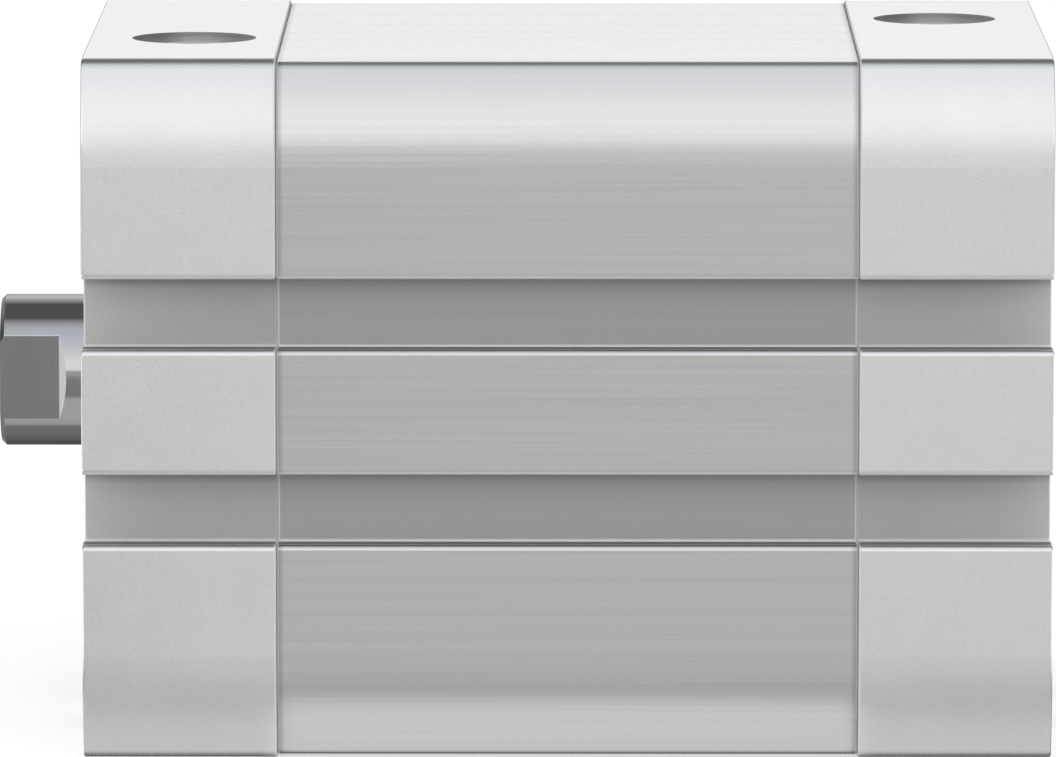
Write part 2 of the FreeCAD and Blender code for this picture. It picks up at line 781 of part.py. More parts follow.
def piston_nut():
    body = new_body("piston_nut")
    outline = sketch_on(body, "YZ_Plane", "NutOutline")
    draw_outline(outline, hexagon("0", "0", "nut_key"))
    draw_circle(outline, ("0", "0"), "2 * neck_hole")
    add_feature(body, "Pad", outline, "Hexagon", Length="nut_height")
    bevel = sketch_on(body, "XZ_Plane", "NutBevel")
    for face, inner in (("0", "nut_chamfer"), ("nut_height", "nut_height - nut_chamfer")):
        draw_outline(bevel, [
            (face, "nut_key / 2"),
            (inner, "nut_corner"),
            (inner, "nut_corner + nut_gap"),
            (face, "nut_corner + nut_gap"),
        ])
    cut_feature(body, "Groove", bevel, "CornerBevel", axis="H_Axis")
    return body


barrel_seal_radius = "bore / 2 - seat_gap - barrel_seal_section / 2"
rod_ring_radius = "rod_neck_diameter / 2 + seat_gap + rod_ring_section / 2"
cushion_back = "pocket_floor - cushion_seat"

pieces = [
    place(barrel(), "cap_length"),
    place(bearing_cap(), "0"),
    place(end_cap(), "body_length", END_FOR_END),
    place(cap_screws("front_cap_screws"), "0"),
    place(cap_screws("rear_cap_screws"), "body_length", END_FOR_END),
    place(sealing_ring("front_barrel_seal", barrel_seal_radius, "barrel_seal_section"),
          "barrel_seal_middle", ACROSS_ROD),
    place(sealing_ring("rear_barrel_seal", barrel_seal_radius, "barrel_seal_section"),
          "body_length - barrel_seal_middle", ACROSS_ROD),
    place(rod_bush(), "bush_start"),
    place(rod_seal(), "0"),
    place(cushion_ring("front_cushion_ring"), cushion_back),
    place(cushion_ring("rear_cushion_ring"), f"body_length - ({cushion_back})", END_FOR_END),
    place(piston_rod(), "-rod_overhang"),
    place(front_piston_half(), "piston_front"),
    place(rear_piston_half(), "piston_back", END_FOR_END),
    place(magnet_ring(), "piston_front + half_length - magnet_width / 2"),
    place(guide_ring(), "piston_front + half_length - guide_width / 2 + packing_gap"),
    place(piston_seal("front_piston_seal"), "piston_front"),
    place(piston_seal("rear_piston_seal"), "piston_back", END_FOR_END),
    place(sealing_ring("rod_sealing_ring", rod_ring_radius, "rod_ring_section"),
          "piston_front + rod_ring_start + rod_ring_room / 2", ACROSS_ROD),
    place(piston_nut(), "piston_back - nut_recess - nut_height"),
]

doc.recompute()
for item in doc.Objects:
    if "Invalid" in item.State or "Error" in item.State:
        raise RuntimeError(f"{item.Label} failed")
for piece in pieces:
    if piece.Shape.isNull() or not piece.Shape.isValid():
        raise RuntimeError(f"{piece.Label} has no valid shape")

os.makedirs("parts", exist_ok=True)
for piece in pieces:
    piece.Shape.exportStep(f"parts/{piece.Label}.step")
    print(f"{piece.Label}: {len(piece.Shape.Solids)} solids, {piece.Shape.Volume:.1f} mm3")
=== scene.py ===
import math

import bpy
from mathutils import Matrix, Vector


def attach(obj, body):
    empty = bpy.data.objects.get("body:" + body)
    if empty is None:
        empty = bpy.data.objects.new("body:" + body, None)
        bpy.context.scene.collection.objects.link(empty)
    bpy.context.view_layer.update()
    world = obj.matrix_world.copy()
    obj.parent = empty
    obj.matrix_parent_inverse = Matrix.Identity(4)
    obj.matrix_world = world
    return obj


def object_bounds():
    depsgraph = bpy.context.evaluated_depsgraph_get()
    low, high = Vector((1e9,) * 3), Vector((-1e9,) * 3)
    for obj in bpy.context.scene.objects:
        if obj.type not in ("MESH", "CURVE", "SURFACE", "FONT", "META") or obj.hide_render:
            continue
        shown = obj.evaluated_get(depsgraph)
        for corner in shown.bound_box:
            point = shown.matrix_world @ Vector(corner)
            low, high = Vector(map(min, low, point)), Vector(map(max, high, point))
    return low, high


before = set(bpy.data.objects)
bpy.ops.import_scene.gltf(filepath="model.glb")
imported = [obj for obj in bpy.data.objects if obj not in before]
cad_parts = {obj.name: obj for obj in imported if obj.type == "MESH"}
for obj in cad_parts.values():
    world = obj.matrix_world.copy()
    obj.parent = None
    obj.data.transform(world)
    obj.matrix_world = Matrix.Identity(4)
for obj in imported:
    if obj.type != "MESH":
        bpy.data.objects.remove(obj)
cad_low, cad_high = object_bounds()
MM = 0.001


# Barrel: a drawn aluminium profile with sensor slots on three sides, sawn to length, brushed along
# its length and clear anodised. The caps are screwed against its two milled ends.

class Shade:
    """A socket in a shader tree that takes part in sums: each operator adds its Math node."""

    def __init__(self, tree, socket=None):
        self.tree = tree
        self.socket = socket

    def add(self, kind, settings=None, inputs=None, output=0):
        """Add a node: first its settings, then the values or links of its sockets."""
        node = self.tree.nodes.new("ShaderNode" + kind)
        for name, setting in (settings or {}).items():
            if name == "stops":
                self.set_stops(node.color_ramp, setting)
            else:
                setattr(node, name, setting)
        for name, given in (inputs or {}).items():
            if isinstance(given, Shade):
                self.tree.links.new(given.socket, node.inputs[name])
            else:
                node.inputs[name].default_value = given
        return Shade(self.tree, node.outputs[output] if node.outputs else None)

    @staticmethod
    def set_stops(ramp, stops):
        (ramp.elements[0].position, first), *between, (ramp.elements[1].position, last) = stops
        ramp.elements[0].color = (*first, 1)
        ramp.elements[1].color = (*last, 1)
        for position, colour in between:
            ramp.elements.new(position).color = (*colour, 1)

    def out(self, name):
        """Another output of the same node."""
        return Shade(self.tree, self.socket.node.outputs[name])

    def sum(self, operation, first, second=0.0):
        return self.add("Math", {"operation": operation}, {0: first, 1: second})

    def __add__(self, other):
        return self.sum("ADD", self, other)

    def __radd__(self, other):
        return self.sum("ADD", other, self)

    def __sub__(self, other):
        return self.sum("SUBTRACT", self, other)

    def __rsub__(self, other):
        return self.sum("SUBTRACT", other, self)

    def __mul__(self, other):
        return self.sum("MULTIPLY", self, other)

    def __rmul__(self, other):
        return self.sum("MULTIPLY", other, self)

    def __truediv__(self, other):
        return self.sum("DIVIDE", self, other)

    def __abs__(self):
        return self.sum("ABSOLUTE", self)

    def split(self):
        """The X of this vector. Its Y and Z are other outputs of the same node."""
        return self.add("SeparateXYZ", {}, {0: self})

    def mix(self, first, second):
        """Colour from first to second as this value goes from 0 to 1."""
        colours = {0: self}
        for socket, colour in ((6, first), (7, second)):
            colours[socket] = colour if isinstance(colour, Shade) else (*colour, 1)
        return self.add("Mix", {"data_type": "RGBA"}, colours, output=2)

    def ease(self, start, end):
        """0 up to start, 1 from end on, and a soft step between them."""
        limits = {"Value": self, "From Min": start, "From Max": end}
        return self.add("MapRange", {"interpolation_type": "SMOOTHSTEP"}, limits)


def new_finish(name):
    """An empty material, and the object's own coordinates to draw its pattern in."""
    finish = bpy.data.materials.new(name)
    finish.use_nodes = True
    finish.node_tree.nodes.clear()
    place = Shade(finish.node_tree).add("TexCoord", output="Object")
    return finish, place


def noise(place, size, detail=2.0, roughness=0.5):
    """Noise between 0 and 1 whose marks have a size in metres along X, Y and Z."""
    scaled = place.add("Mapping", {}, {"Vector": place, "Scale": [1 / length for length in size]})
    return place.add("TexNoise", {}, {
        "Vector": scaled, "Scale": 1.0, "Detail": detail, "Roughness": roughness})


def relief(height, depth):
    """A surface normal that follows a height pattern, depth in metres from lowest to highest."""
    bump = {"Strength": 1.0, "Distance": depth, "Height": height}
    return height.add("Bump", {}, bump, output="Normal")


def surface(place, sockets):
    shader = place.add("BsdfPrincipled", {}, sockets)
    place.add("OutputMaterial", {}, {"Surface": shader})


def lay_on(finish, *nodes):
    """Give CAD nodes a finish."""
    for node in nodes:
        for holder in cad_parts[node].material_slots:
            holder.material = finish


SLOT_PITCH = 15.2 * MM
SLOTS_REACH = 12 * MM
SOFT = 0.5 * MM


def within_slots(place, face):
    """1 in the sensor slots, below lips that start at a face distance."""
    along = place.split()
    beside, up = abs(along.out("Y")), abs(along.out("Z"))
    below_lip = 1 - place.sum("MAXIMUM", beside, up).ease(face - 0.75 * MM, face - 0.4 * MM)
    from_centre = place.sum("MINIMUM", beside, up)
    near_centre = 1 - from_centre.ease(SLOTS_REACH - SOFT, SLOTS_REACH + SOFT)
    below_ports = 1 - along.out("Z").ease(13 * MM, 14 * MM)
    return below_lip * near_centre * below_ports


def inside_slots(place, face):
    """1 on the walls and floors of the slots, and 0 on the cut ends."""
    turned_aside = place.out("Normal").split()
    return within_slots(place, face) * (1 - abs(turned_aside).ease(0.4, 0.8))


def on_ledges(place, face):
    """1 on the narrow ledges behind the slots' lips, and 0 on the slot floors."""
    along = place.split()
    depth = face - place.sum("MAXIMUM", abs(along.out("Y")), abs(along.out("Z")))
    return 1 - depth.ease(2.3 * MM, 3.0 * MM)


def in_corners(place, face):
    """1 in the rounded corners between a slot's floor and its side walls."""
    along = place.split()
    beside, up = abs(along.out("Y")), abs(along.out("Z"))
    depth = face - place.sum("MAXIMUM", beside, up)
    from_slot_middle = abs(place.sum("MINIMUM", beside, up) - SLOT_PITCH / 2)
    return depth.ease(4.1 * MM, 4.4 * MM) * from_slot_middle.ease(2.75 * MM, 2.95 * MM)


def on_lip_edges(place, face):
    """1 on the rounded lower edges of the lips above the side slots."""
    along = place.split()
    turned_down = 0 - place.out("Normal").split().out("Z")
    at_face = abs(along.out("Y")).ease(face - 0.9 * MM, face - 0.6 * MM)
    near_centre = 1 - abs(along.out("Z")).ease(SLOTS_REACH - SOFT, SLOTS_REACH + SOFT)
    return turned_down.ease(0.4, 0.6) * at_face * near_centre


def under_lips(place):
    """1 at the top of the side slots' floors, fading out downwards."""
    height = place.split().out("Z")
    in_pitch = place.sum("FLOORED_MODULO", height + SLOT_PITCH, SLOT_PITCH)
    from_slot_middle = in_pitch - SLOT_PITCH / 2
    return from_slot_middle.ease(1.3 * MM, 2.5 * MM)


def on_top_edges(place, face):
    """1 on the rounded edges along the top face, and 0 on the top face itself."""
    height, turned_up = place.split().out("Z"), place.out("Normal").split().out("Z")
    return height.ease(face - 0.45 * MM, face - 0.3 * MM) * (1 - turned_up.ease(0.95, 0.99))


def on_top_face(place, face):
    """1 on the flat top face, between its rounded edges."""
    height, turned_up = place.split().out("Z"), place.out("Normal").split().out("Z")
    return height.ease(face - 0.3 * MM, face - 0.2 * MM) * turned_up.ease(0.95, 0.99)


BARREL_FACE = 27.0 * MM
HALF_LENGTH = 37.5 * MM
BARREL_HALF = 22.5 * MM
brushed, place = new_finish("brushed_aluminium")
long_streaks = noise(place, (160 * MM, 0.4 * MM, 0.4 * MM), detail=3.0, roughness=0.6)
hair_lines = noise(place, (30 * MM, 0.09 * MM, 0.09 * MM), detail=2.0, roughness=0.65)
brush_marks = 0.5 * long_streaks + 0.5 * hair_lines
drawn_bands = noise(place, (900 * MM, 2.2 * MM, 2.2 * MM), detail=1.0)
in_slot = inside_slots(place, BARREL_FACE)
from_middle = abs(place.split() - HALF_LENGTH)
# Painted shade: the barrel darkens within 0.7 mm of its ends, next to the proud caps, and its coat
# thins there.
painted_joint_shade = from_middle.ease(BARREL_HALF - 0.7 * MM, BARREL_HALF - 0.1 * MM) * (1 - in_slot)
ledge = in_slot * on_ledges(place, BARREL_FACE)
sawn_edge = from_middle.ease(BARREL_HALF - 0.22 * MM, BARREL_HALF - 0.15 * MM)
# Painted highlight: the joint line inside the slots is lightened.
painted_slot_joint_light = sawn_edge * within_slots(place, BARREL_FACE)
# Painted highlight: the lips' rounded lower edges get a lighter colour.
lip_edge = on_lip_edges(place, BARREL_FACE)
top_face = on_top_face(place, BARREL_FACE)
matt_edge = place.sum("MAXIMUM", sawn_edge, lip_edge)
slot_wall = in_slot * (1 - in_corners(place, BARREL_FACE))
matt_wall = place.sum("MAXIMUM", slot_wall, matt_edge)
# Painted shade: the tops of the slot floors are darker, under the lips.
painted_lip_shade = 1 - 0.25 * in_slot * under_lips(place)
shaded = (1 - 0.34 * painted_joint_shade * (1 - 0.4 * sawn_edge)) * painted_lip_shade
streaks = 0.17 * brush_marks + 0.2 * top_face * (brush_marks - 0.2)
# Painted shade: the colour is darker in the slots and much darker on the ledges behind the lips.
level = (0.61 + streaks) * (1 - 0.11 * in_slot - 0.59 * ledge) * shaded
level = level + 0.36 * painted_slot_joint_light + 0.2 * lip_edge
duller_top = 0.2 * on_top_edges(place, BARREL_FACE) + 0.5 * top_face
banded_coat = 1 - 0.5 * top_face * (drawn_bands - 0.4)
surface(place, {
    "Base Color": level.mix((0, 0, 0), in_slot.mix((1.0, 1.0, 0.995), (1.0, 0.995, 0.98))),
    "Metallic": 1 - 0.9 * matt_wall - duller_top * (1 - matt_wall),
    "Specular Tint": (0.85, 0.85, 0.85, 1),
    "Roughness": 0.19 + 0.12 * hair_lines + 0.12 * in_slot + 0.25 * matt_wall,
    "Normal": relief(hair_lines, 0.003 * MM),
    "Coat Weight": (1 - in_slot) * (1 - 0.5 * painted_joint_shade) * banded_coat,
    "Coat Roughness": 0.15,
})
lay_on(brushed, "barrel")


# Caps: aluminium castings machined on their outer and joint faces, then bead blasted and anodised,
# which leaves an even, fine matt grain. Four screws hold each cap to the barrel.

def grains(place, size, detail=2.0, roughness=0.5):
    """Noise whose marks are as long as they are wide."""
    return noise(place, (size, size, size), detail, roughness)


CAP_FACE = 27.25 * MM
CUTTER_CENTRE = (0, -55 * MM, 12 * MM)
CUTTER_FEED = 0.4 * MM
FRONT_PORT = Vector((8.2 * MM, -8.2 * MM, 0))
REAR_PORT = Vector((66.8 * MM, 8.2 * MM, 0))
blasted, place = new_finish("blasted_aluminium")
grain = grains(place, 0.16 * MM, detail=3.0, roughness=0.6)
clouds = grains(place, 4 * MM)
in_slot = inside_slots(place, CAP_FACE)
ledge = in_slot * on_ledges(place, CAP_FACE)
along = place.split()
from_middle = abs(along - HALF_LENGTH)
milled = from_middle.ease(HALF_LENGTH - 0.2 * MM, HALF_LENGTH - 0.1 * MM)
joint_edge = from_middle.ease(BARREL_HALF + 0.18 * MM, BARREL_HALF + 0.12 * MM)
# Painted highlight: the joint line inside the slots is lightened.
painted_slot_joint_light = joint_edge * within_slots(place, CAP_FACE)
matt_edge = place.sum("MAXIMUM", joint_edge, on_lip_edges(place, CAP_FACE))
slot_wall = in_slot * (1 - in_corners(place, CAP_FACE))
matt_wall = place.sum("MAXIMUM", slot_wall, matt_edge)
turned_aside = place.out("Normal").split()
down_to_recess = from_middle.ease(HALF_LENGTH - 2.5 * MM, HALF_LENGTH - 2.3 * MM)
end_face = abs(turned_aside).ease(0.95, 0.99) * down_to_recess
on_face = place.add("CombineXYZ", {}, {"Y": along.out("Y"), "Z": along.out("Z")})
from_cutter = place.add(
    "VectorMath", {"operation": "DISTANCE"}, {0: on_face, 1: CUTTER_CENTRE}, output="Value")
cutter_marks = place.sum("SINE", from_cutter * (2 * math.pi / CUTTER_FEED))


def distance_from(port):
    """Distance from the upright axis of a port."""
    across, aside = along - port.x, along.out("Y") - port.y
    return place.sum("SQRT", across * across + aside * aside)


from_port = place.sum("MINIMUM", distance_from(FRONT_PORT), distance_from(REAR_PORT))
in_port = 1 - from_port.ease(4.87 * MM, 4.90 * MM)
# Painted shade: the port walls are darker, darkest where the wall faces +X and less where it faces
# -X.
painted_port_side_shade = 0.3 * turned_aside.ease(0.1, 0.6) + 0.14 * turned_aside.ease(-0.1, -0.6)
painted_port_shade = in_port * (0.3 + painted_port_side_shade)
# Painted shade: the colour is darker in the slots and much darker on the ledges behind the lips.
level = (0.745 + 0.14 * grain + 0.06 * clouds) * (1 - 0.2 * in_slot - 0.5 * ledge)
# Painted dark reflection: the rounded edges along the top are darkened.
level = level * (1 - painted_port_shade) * (1 - 0.2 * on_top_edges(place, CAP_FACE))
# Painted shade: the tops of the slot floors are darker, under the lips.
painted_lip_shade = 1 - 0.5 * in_slot * under_lips(place)
level = level * painted_lip_shade * (1 - (0.22 + 0.03 * cutter_marks) * end_face) + 0.1 * painted_slot_joint_light
duller_top = 0.3 * on_top_face(place, CAP_FACE)
roughness = 0.29 + 0.16 * grain + 0.1 * in_slot + 0.25 * matt_wall
grain_height = grain * (1 - in_port) * (1 - milled) + 0.2 * cutter_marks * end_face
surface(place, {
    "Base Color": level.mix((0, 0, 0), in_slot.mix((1.0, 1.0, 0.99), (1.0, 0.995, 0.975))),
    "Metallic": 1 - 0.9 * matt_wall - 0.5 * in_port - duller_top * (1 - matt_wall),
    "Roughness": roughness * (1 - 0.6 * milled * (1 - end_face)),
    "Normal": relief(grain_height, 0.012 * MM),
    "Coat Weight": 1 - in_slot - 0.6 * end_face,
    "Coat Roughness": 0.15,
})
lay_on(blasted, "bearing_cap", "end_cap")


# Port threads: pipe threads cut into the two supply ports, for push-in fittings. They start at
# the flat floor of a shallow counterbore and run out on the tap's last turns.

def choose(piece, wanted):
    """Select the points of a piece that wanted accepts, and go on to edit them."""
    bpy.ops.object.mode_set(mode="EDIT")
    bpy.ops.mesh.select_mode(type="VERT")
    bpy.ops.mesh.select_all(action="DESELECT")
    bpy.ops.object.mode_set(mode="OBJECT")
    for point in piece.data.vertices:
        point.select = wanted(point)
    bpy.ops.object.mode_set(mode="EDIT")


SHARPEST_CURVE = math.radians(40)


def close_mesh():
    """Turn the faces of the piece in hand outwards, and shade its curves smoothly."""
    bpy.ops.mesh.select_all(action="SELECT")
    bpy.ops.mesh.normals_make_consistent(inside=False)
    bpy.ops.object.mode_set(mode="OBJECT")
    bpy.ops.object.shade_smooth_by_angle(angle=SHARPEST_CURVE)


def inner_thread(name, outer, core, pitch, turns):
    """The ridge of a thread in a hole, wound upwards about Z from the origin, with tapered ends."""
    foot = outer + 0.05 * MM
    foot_width = 0.92 * pitch
    crest_share = 0.2
    steps = 40
    taper = 12
    middle = (foot + core) / 2
    bpy.ops.object.select_all(action="DESELECT")
    bpy.ops.mesh.primitive_plane_add(size=1.0, rotation=(math.pi / 2, 0, 0))
    ridge = bpy.context.object
    ridge.name = name
    ridge.scale = (foot - core, foot_width, 1)
    ridge.location.x = middle
    bpy.ops.object.transform_apply(location=True, rotation=True, scale=True)
    choose(ridge, lambda point: point.co.x < middle)
    bpy.ops.transform.resize(value=(1, 1, crest_share))
    bpy.ops.mesh.select_all(action="SELECT")
    bpy.ops.mesh.delete(type="ONLY_FACE")
    bpy.ops.object.mode_set(mode="OBJECT")
    winding = ridge.modifiers.new("winding", "SCREW")
    winding.axis = "Z"
    winding.screw_offset = pitch
    winding.iterations = turns
    winding.steps = steps
    winding.render_steps = steps
    bpy.ops.object.modifier_apply(modifier="winding")
    corners = 4
    rings = len(ridge.data.vertices) // corners
    for ring in range(taper):
        spread = 1 + (foot / core - 1) * (1 - (ring + 1) / (taper + 1))
        for number in (ring, rings - 1 - ring):
            choose(ridge, lambda point: (
                point.index // corners == number and point.co.xy.length < middle))
            bpy.ops.transform.resize(value=(spread, spread, 1), center_override=(0, 0, 0))
            bpy.ops.object.mode_set(mode="OBJECT")
    bpy.ops.object.mode_set(mode="EDIT")
    bpy.ops.mesh.select_all(action="SELECT")
    bpy.ops.mesh.fill_holes(sides=corners)
    close_mesh()
    return ridge


def take(piece):
    """Select one piece alone."""
    bpy.ops.object.select_all(action="DESELECT")
    piece.select_set(True)
    bpy.context.view_layer.objects.active = piece


def put(piece, location, rotation=(0, 0, 0)):
    """Turn and move a piece into its place, and leave its object at the origin."""
    take(piece)
    piece.rotation_euler = rotation
    piece.location = location
    bpy.ops.object.transform_apply(location=True, rotation=True, scale=True)


def copy_of(piece, name):
    take(piece)
    bpy.ops.object.duplicate(linked=False)
    bpy.context.object.name = name
    return bpy.context.object


PORT_RADIUS = 4.865 * MM
PORT_CORE = 4.285 * MM
PORT_PITCH = 0.907 * MM
PORT_TURNS = 8
PORT_MOUTH = CAP_FACE - 0.81 * MM
QUARTER_TURN = math.radians(90)
front_port_thread = inner_thread(
    "front_port_thread", PORT_RADIUS, PORT_CORE, PORT_PITCH, PORT_TURNS)
port_start = PORT_MOUTH - (PORT_TURNS - 1) * PORT_PITCH
put(front_port_thread, Vector((0, 0, port_start)), (0, 0, QUARTER_TURN))
choose(front_port_thread, lambda point: True)
bpy.ops.mesh.bisect(
    plane_co=(0, 0, PORT_MOUTH), plane_no=(0, 0, 1), use_fill=True, clear_outer=True,
    threshold=1e-7)
close_mesh()
rear_port_thread = copy_of(front_port_thread, "rear_port_thread")
put(front_port_thread, FRONT_PORT)
put(rear_port_thread, REAR_PORT)
freshly_cut, place = new_finish("cut_aluminium")
chatter = noise(place, (0.08 * MM, 0.08 * MM, 0.3 * MM), detail=3.0)
# Painted highlight: the thread's flat, upward-facing faces are pale and matt, standing in for a
# bright reflection.
painted_flat_highlight = place.out("Normal").split().out("Z").ease(0.9, 0.98)
cut_grey = chatter.mix((0.74, 0.74, 0.74), (0.90, 0.90, 0.90))
surface(place, {
    "Base Color": painted_flat_highlight.mix(cut_grey, (0.96, 0.96, 0.95)),
    "Metallic": 0.55 - 0.45 * painted_flat_highlight,
    "Roughness": 0.16 + 0.12 * chatter + 0.3 * painted_flat_highlight,
    "Normal": relief(chatter, 0.004 * MM),
})
for port_thread in (front_port_thread, rear_port_thread):
    port_thread.data.materials.append(freshly_cut)
    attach(port_thread, "housing")


# Cap screws: collar screws turned from steel and zinc plated. Their heads are tapped, so that the
# cylinder is bolted to a machine through them.

plated, place = new_finish("zinc_plated_steel")
patches = grains(place, 1.2 * MM, detail=4.0)
turning = noise(place, (0.05 * MM, 2 * MM, 2 * MM), detail=2.0)
surface(place, {
    "Base Color": patches.mix((0.52, 0.53, 0.55), (0.70, 0.71, 0.73)),
    "Metallic": 1.0,
    "Roughness": 0.24 + 0.16 * patches,
    "Normal": relief(turning, 0.003 * MM),
})
lay_on(plated, "front_cap_screws", "rear_cap_screws")

SCREW_REACH = 19 * MM
SCREW_RADIUS = 3.0 * MM
SCREW_CORE = 2.48 * MM
SCREW_PITCH = 1.0 * MM
SCREW_TURNS = 12
FRONT_START = 1.1 * MM
REAR_START = 2 * HALF_LENGTH - FRONT_START
screw_thread = inner_thread("screw_thread", SCREW_RADIUS, SCREW_CORE, SCREW_PITCH, SCREW_TURNS)
put(screw_thread, Vector((0, 0, -SCREW_TURNS * SCREW_PITCH)))
for side, beside in ((-SCREW_REACH, "near"), (SCREW_REACH, "far")):
    for height, tier in ((-SCREW_REACH, "lower"), (SCREW_REACH, "upper")):
        front = copy_of(screw_thread, f"front_{beside}_{tier}_screw_thread")
        put(front, Vector((FRONT_START, side, height)), (0, -QUARTER_TURN, 0))
        rear = copy_of(screw_thread, f"rear_{beside}_{tier}_screw_thread")
        put(rear, Vector((REAR_START, side, height)), (0, QUARTER_TURN, 0))
        for tapped in (front, rear):
            tapped.data.materials.append(plated)
            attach(tapped, "housing")
bpy.data.objects.remove(screw_thread)


# Barrel seals and the rod's sealing ring: moulded rubber rings, laid into their grooves with a
# little grease. A fine flash line and a matt skin are left by the mould.

rubber, place = new_finish("sealing_rubber")
skin = grains(place, 0.3 * MM, detail=4.0, roughness=0.6)
grease = grains(place, 3 * MM)
surface(place, {
    "Base Color": skin.mix((0.025, 0.025, 0.025), (0.055, 0.055, 0.055)),
    "Roughness": 0.75 - 0.45 * grease.ease(0.5, 0.7),
    "Normal": relief(skin, 0.01 * MM),
})
lay_on(rubber, "front_barrel_seal", "rear_barrel_seal", "rod_sealing_ring")


# Cushion rings: moulded elastomer rings, pressed into pockets of the caps. The piston lands on
# them at the ends of its travel, and they stop it softly.

elastomer, place = new_finish("cushion_elastomer")
skin = grains(place, 0.5 * MM, detail=4.0, roughness=0.6)
surface(place, {
    "Base Color": skin.mix((0.12, 0.12, 0.13), (0.20, 0.20, 0.21)),
    "Roughness": 0.6 + 0.2 * skin,
    "Normal": relief(skin, 0.015 * MM),
})
lay_on(elastomer, "front_cushion_ring", "rear_cushion_ring")


# Rod bush: sintered bronze, pressed into the bearing cap. Its open pores hold oil, which darkens
# them.

bronze, place = new_finish("sintered_bronze")
pores = grains(place, 0.12 * MM, detail=3.0, roughness=0.7)
surface(place, {
    "Base Color": pores.ease(0.35, 0.5).mix((0.20, 0.13, 0.06), (0.64, 0.46, 0.26)),
    "Metallic": 1.0,
    "Roughness": 0.6 - 0.2 * pores,
    "Normal": relief(pores, 0.02 * MM),
})
lay_on(bronze, "rod_bush")


# Rod seal and piston seals: dark polyurethane lip seals, moulded and fitted into their grooves,
# with a satin skin that the sliding face polishes.

polyurethane, place = new_finish("lip_polyurethane")
skin = grains(place, 0.6 * MM, detail=4.0)
surface(place, {
    "Base Color": skin.mix((0.07, 0.08, 0.10), (0.13, 0.14, 0.16)),
    "Roughness": 0.32 + 0.2 * skin,
    "Normal": relief(skin, 0.006 * MM),
})
lay_on(polyurethane, "rod_seal", "front_piston_seal", "rear_piston_seal")


# Piston rod: stainless steel bar, ground and polished, with two milled wrench flats and a thread
# in its tip. The piston is clamped on its other end.

def from_rod_axis(place):
    """Distance from the rod axis."""
    along = place.split()
    return place.sum("SQRT", along.out("Y") * along.out("Y") + along.out("Z") * along.out("Z"))


polished, place = new_finish("polished_steel")
grinding = noise(place, (0.06 * MM, 3 * MM, 3 * MM), detail=2.0)
along = place.split()
turned_forward = 0 - place.out("Normal").split()
behind_flats = along.ease(-3.2 * MM, -2.9 * MM) * along.ease(-1.6 * MM, -1.9 * MM)
outside = from_rod_axis(place).ease(4.6 * MM, 4.9 * MM)
# Painted highlight: the run-out behind the flats is pale and matt, standing in for a bright
# reflection.
run_out = turned_forward.ease(0.5, 0.7) * behind_flats * outside
slanting = turned_forward.ease(0.4, 0.55) * turned_forward.ease(0.95, 0.85)
# Painted dark reflection: the chamfer at the tip is nearly black.
tip_chamfer = slanting * along.ease(-6.95 * MM, -7.05 * MM)
ground = grinding.mix((0.53, 0.53, 0.535), (0.58, 0.58, 0.585))
surface(place, {
    "Base Color": run_out.mix(tip_chamfer.mix(ground, (0.16, 0.16, 0.16)), (0.96, 0.95, 0.92)),
    "Metallic": 1 - 0.95 * run_out,
    "Specular Tint": (0.6, 0.6, 0.6, 1),
    "Roughness": 0.06 + 0.04 * grinding + 0.4 * run_out,
    "Normal": relief(grinding, 0.0002 * MM),
})
lay_on(polished, "piston_rod")

TIP_RADIUS = 4.0 * MM
TIP_CORE = 3.34 * MM
TIP_PITCH = 1.25 * MM
TIP_TURNS = 9
TIP_START = -6.6 * MM
rod_thread = inner_thread("rod_thread", TIP_RADIUS, TIP_CORE, TIP_PITCH, TIP_TURNS)
put(rod_thread, Vector((0, 0, -TIP_TURNS * TIP_PITCH)))
put(rod_thread, Vector((TIP_START, 0, 0)), (0, -QUARTER_TURN, 0))
rod_thread.data.materials.append(polished)
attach(rod_thread, "piston_and_rod")


# Piston: two aluminium halves turned on a lathe and clamped on the rod's neck. Between them they
# hold the magnet, and on their outside the guide ring.

LATHE_FEED = 0.12 * MM
turned, place = new_finish("turned_aluminium")
feed = place.sum("SINE", (place.split() + from_rod_axis(place)) * (2 * math.pi / LATHE_FEED))
patches = grains(place, 3 * MM, detail=3.0)
surface(place, {
    "Base Color": patches.mix((0.62, 0.62, 0.62), (0.78, 0.78, 0.78)),
    "Metallic": 1.0,
    "Roughness": 0.28 + 0.12 * patches,
    "Normal": relief(feed, 0.002 * MM),
})
lay_on(turned, "front_piston_half", "rear_piston_half")


# Magnet ring: pressed ferrite powder, black and dull, clamped between the two halves of the
# piston. The sensors in the slots find the piston by it.

ferrite, place = new_finish("pressed_ferrite")
powder = grains(place, 0.2 * MM, detail=4.0, roughness=0.7)
surface(place, {
    "Base Color": powder.mix((0.08, 0.08, 0.09), (0.16, 0.16, 0.17)),
    "Metallic": 0.3,
    "Roughness": 0.55 + 0.25 * powder,
    "Normal": relief(powder, 0.01 * MM),
})
lay_on(ferrite, "magnet_ring")


# Guide ring: a moulded strip of pale polymer round the piston, which slides on the barrel's wall
# and is rubbed into fine lines along its travel.

polymer, place = new_finish("guide_polymer")
rubbing = noise(place, (4 * MM, 0.15 * MM, 0.15 * MM), detail=2.0)
surface(place, {
    "Base Color": rubbing.mix((0.70, 0.68, 0.62), (0.82, 0.80, 0.74)),
    "Roughness": 0.42 + 0.2 * rubbing,
    "Normal": relief(rubbing, 0.003 * MM),
})
lay_on(polymer, "guide_ring")


# Piston nut: a thin hexagon nut, turned and zinc plated, tightened on the rod's end in a recess
# of the piston.

